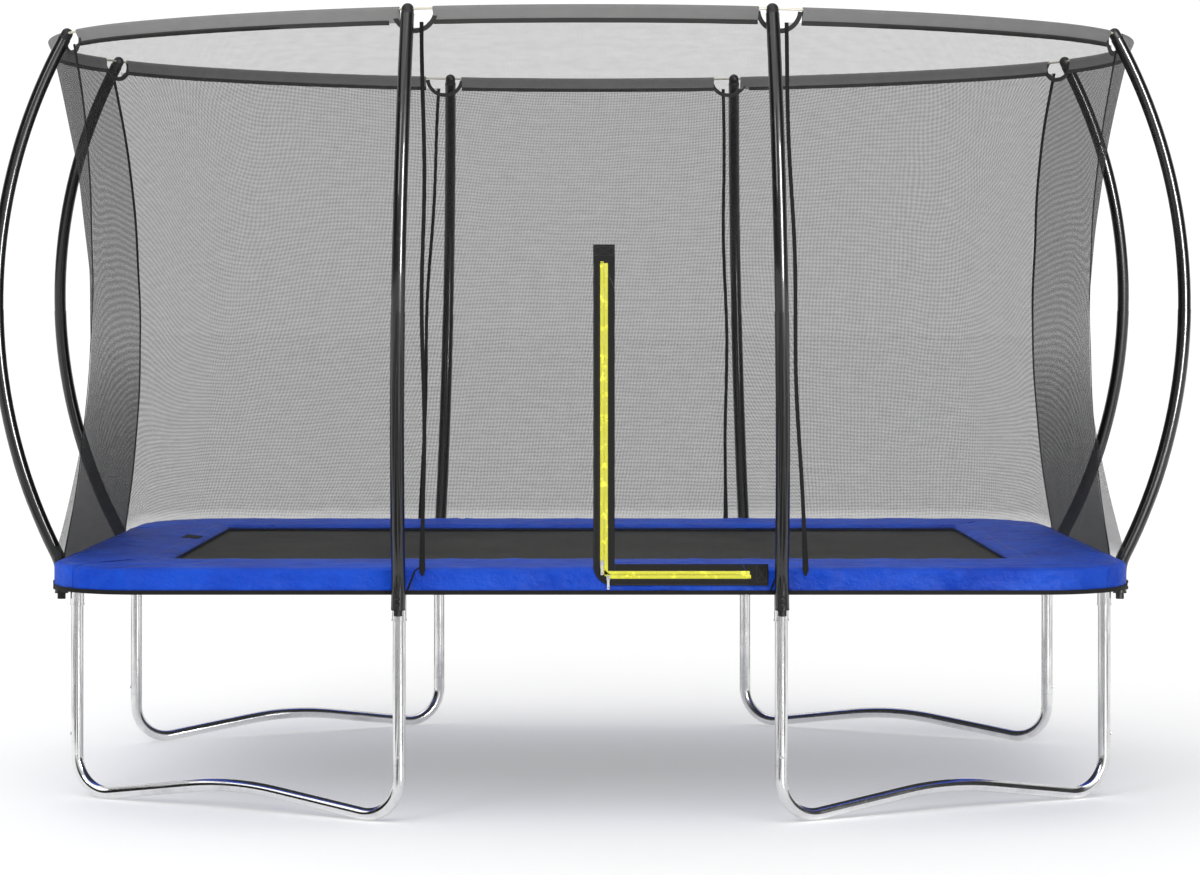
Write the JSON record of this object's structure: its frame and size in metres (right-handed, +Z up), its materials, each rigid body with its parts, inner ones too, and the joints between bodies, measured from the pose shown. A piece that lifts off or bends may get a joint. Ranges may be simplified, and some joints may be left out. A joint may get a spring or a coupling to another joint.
{
  "type": "rectangular trampoline",
  "caption": "Rectangular garden trampoline on bent tube legs, with padded springs and a net enclosure on arched poles and a zip door.",
  "frame": {"origin": "on the floor under the middle of the mat", "axes": "+Z up, +X along the long side, -Y towards the side with the zip door"},
  "size_m": [4.1596, 3.1306, 2.6581],
  "materials": {
    "galvanised_steel": "bright galvanised tube with drawn streaks",
    "zinc_fastener": "zinc plated steel",
    "spring_steel": "zinc plated spring wire",
    "black_pole": "gloss black powder coat over tube",
    "black_plastic": "moulded plastic",
    "fibreglass": "bare fibreglass rod",
    "net_band": "folded woven band",
    "net_mesh": "fine open black mesh",
    "black_webbing": "woven webbing",
    "woven_mat": "tightly woven polypropylene",
    "blue_pad": "blue woven PE sheet over foam",
    "zip_tape": "woven zip tape",
    "zip_chain": "yellow coil teeth",
    "zip_slider": "plated slider",
    "zip_pull": "pale moulded pull"
  },
  "bodies": {
    "frame": {"rail_front": "galvanised_steel", "rail_back": "galvanised_steel", "rail_left": "galvanised_steel", "rail_right": "galvanised_steel", "corner_front_left": "galvanised_steel", "corner_front_right": "galvanised_steel", "corner_back_left": "galvanised_steel", "corner_back_right": "galvanised_steel", "leg_sockets": "galvanised_steel", "legs": "galvanised_steel", "base_front_left": "galvanised_steel", "base_front_right": "galvanised_steel", "base_back_left": "galvanised_steel", "base_back_right": "galvanised_steel", "base_screws": "zinc_fastener", "poles_lower_front": "black_pole", "poles_lower_back": "black_pole", "poles_lower_left": "black_pole", "poles_lower_right": "black_pole", "poles_upper_front": "black_pole", "poles_upper_back": "black_pole", "poles_upper_left": "black_pole", "poles_upper_right": "black_pole", "pole_caps": "black_plastic", "pole_plugs": "black_plastic", "pole_spacers": "black_plastic", "pole_bolts": "zinc_fastener", "pole_nuts": "zinc_fastener", "ring_rods": "fibreglass", "ring_ferrules": "zinc_fastener", "net_band": "net_band", "net_front": "net_mesh", "net_back": "net_mesh", "net_left": "net_mesh", "net_right": "net_mesh", "net_front_left": "net_mesh", "net_front_right": "net_mesh", "net_back_left": "net_mesh", "net_back_right": "net_mesh", "net_seams": "black_webbing", "net_ties": "black_webbing", "zip_tape_net": "zip_tape", "zip_teeth_net": "zip_chain", "springs_long_sides": "spring_steel", "springs_short_sides": "spring_steel", "pad_front": "blue_pad", "pad_back": "blue_pad", "pad_left": "blue_pad", "pad_right": "blue_pad", "pad_straps": "black_webbing"},
    "jump_mat": {"jump_mat": "woven_mat", "mat_hem": "black_webbing", "mat_rings": "zinc_fastener"},
    "door_flap": {"door_flap": "net_mesh", "zip_tape_flap": "zip_tape", "zip_teeth_flap": "zip_chain"},
    "zip_slider_up": {"zip_slider_up": "zip_slider"},
    "zip_slider_across": {"zip_slider_across": "zip_slider"},
    "zip_pull_up": {"zip_pull_up": "zip_pull"},
    "zip_pull_across": {"zip_pull_across": "zip_pull"}
  },
  "joints": [
    {"name": "mat_bounce", "type": "slide", "parent": "frame", "child": "jump_mat", "axis": [0, 0, 1], "range_m": [-0.25, 0], "stiffness_N_per_m": 4000, "springref_m": 0.03, "deforming": ["springs_long_sides", "springs_short_sides"]},
    {"name": "door_open", "type": "hinge", "parent": "frame", "child": "door_flap", "pos_m": [0.523, -1.2288, 0.813], "axis": [-0.4253, -0.0215, 0.9048], "range_deg": [0, 100]},
    {"name": "slider_up_slide", "type": "slide", "parent": "frame", "child": "zip_slider_up", "axis": [0, -0.0262, 0.9997], "range_m": [0, 0.986]},
    {"name": "slider_across_slide", "type": "slide", "parent": "frame", "child": "zip_slider_across", "axis": [1, 0, 0], "range_m": [0, 0.474]},
    {"name": "pull_up_swing", "type": "hinge", "parent": "zip_slider_up", "child": "zip_pull_up", "pos_m": [0.03825, -1.2393, 0.851], "axis": [-1, 0, 0], "range_deg": [0, 120]},
    {"name": "pull_across_swing", "type": "hinge", "parent": "zip_slider_across", "child": "zip_pull_across", "pos_m": [0.05875, -1.2393, 0.804], "axis": [-1, 0, 0], "range_deg": [0, 120]}
  ],
  "couplings": [
    {"joint": "slider_up_slide", "follows": "door_open", "m_per_rad": 0.564},
    {"joint": "slider_across_slide", "follows": "door_open", "m_per_rad": 0.271}
  ]
}
